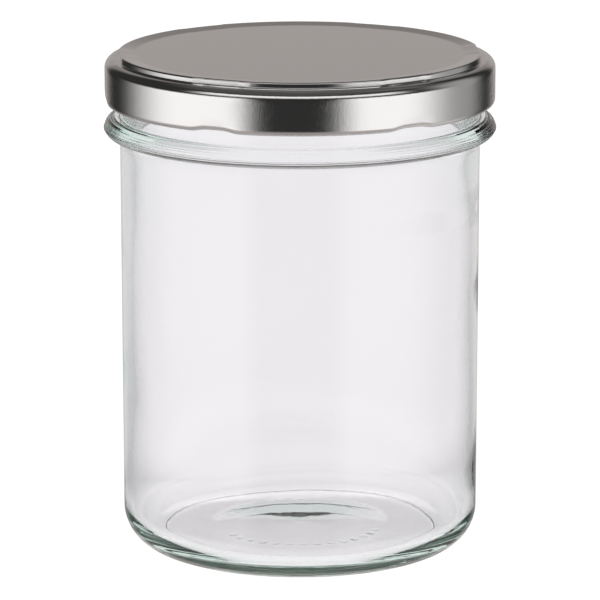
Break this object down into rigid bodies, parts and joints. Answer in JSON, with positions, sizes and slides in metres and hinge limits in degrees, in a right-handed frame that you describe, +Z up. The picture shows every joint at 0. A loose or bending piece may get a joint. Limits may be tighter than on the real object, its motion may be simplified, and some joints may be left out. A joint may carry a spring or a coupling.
{
  "type": "canning jar",
  "caption": "Straight-sided clear glass jar with a bead below its threaded neck, closed by a plain tinplate twist-off lid with hooked lugs and a sealing ring.",
  "frame": {"origin": "on the jar's axis, in the plane of the bearing ring that the jar stands on", "axes": "+Z up along the jar's axis towards the lid; -Y towards the viewer; +X to the viewer's right"},
  "size_m": [0.0858, 0.0858, 0.1106],
  "materials": {
    "clear_glass": "clear soda-lime glass with a faint green cast in its thick parts, fire-polished outside, slightly uneven inside",
    "tinplate": "bright lacquered tinplate, smooth, with a faint fine grain on the skirt",
    "sealing_compound": "soft off-white flowed-in sealing compound, satin"
  },
  "bodies": {
    "root": {"jar": "clear_glass", "lid": "tinplate", "seal": "sealing_compound"}
  },
  "joints": []
}
